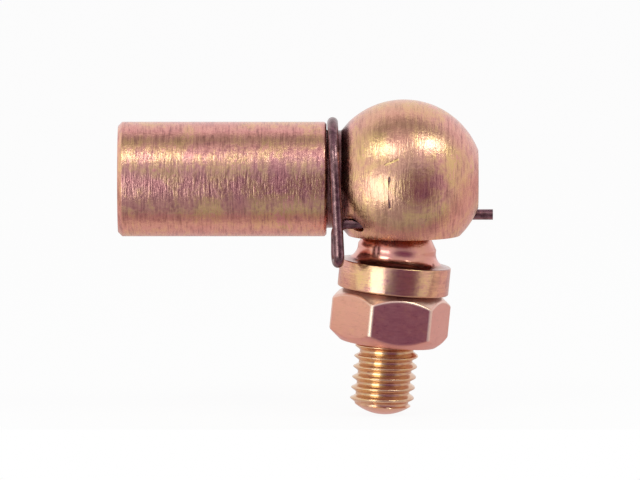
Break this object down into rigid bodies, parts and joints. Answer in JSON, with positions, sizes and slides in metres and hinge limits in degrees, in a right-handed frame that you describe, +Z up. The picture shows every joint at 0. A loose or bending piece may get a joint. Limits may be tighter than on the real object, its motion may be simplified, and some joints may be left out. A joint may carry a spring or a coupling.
{
  "type": "angle ball joint",
  "caption": "Angle ball joint: threaded socket with a round head, swivelling ball stud with nut, inner snap ring and wire safety catch.",
  "frame": {"origin": "centre of the rod thread's mouth, at the shank's end face", "axes": "+X along the shank to the ball, +Z up, the stud hanging down; the ball's centre is on +X at 26.955 mm"},
  "size_m": [0.0354, 0.015, 0.0298],
  "materials": {
    "socket_zinc": "turned steel, zinc plated, yellow to pink iridescent passivation",
    "stud_zinc": "turned steel, zinc plated, bright yellow passivation",
    "nut_zinc": "steel nut, zinc plated, yellow to purple passivation",
    "ring_steel": "round spring wire, greased",
    "spring_wire": "dark phosphated spring wire"
  },
  "bodies": {
    "socket": {"ball_socket": "socket_zinc", "safety_catch": "spring_wire"},
    "ring": {"snap_ring": "ring_steel"},
    "stud": {"ball_stud": "stud_zinc"},
    "nut": {"hex_nut": "nut_zinc"}
  },
  "joints": [
    {"name": "ring_turn", "type": "hinge", "parent": "socket", "child": "ring", "pos_m": [0.02695, 0, 0], "axis": [0, 0, 1], "continuous": true},
    {"name": "stud_swing", "type": "hinge", "parent": "ring", "child": "stud", "pos_m": [0.02695, 0, 0], "axis": [0, 1, 0], "range_deg": [-17.7, 6.3]},
    {"name": "nut_travel", "type": "slide", "parent": "stud", "child": "nut", "axis": [-0.0993, 0, -0.9951], "range_m": [0, 0.005]}
  ]
}
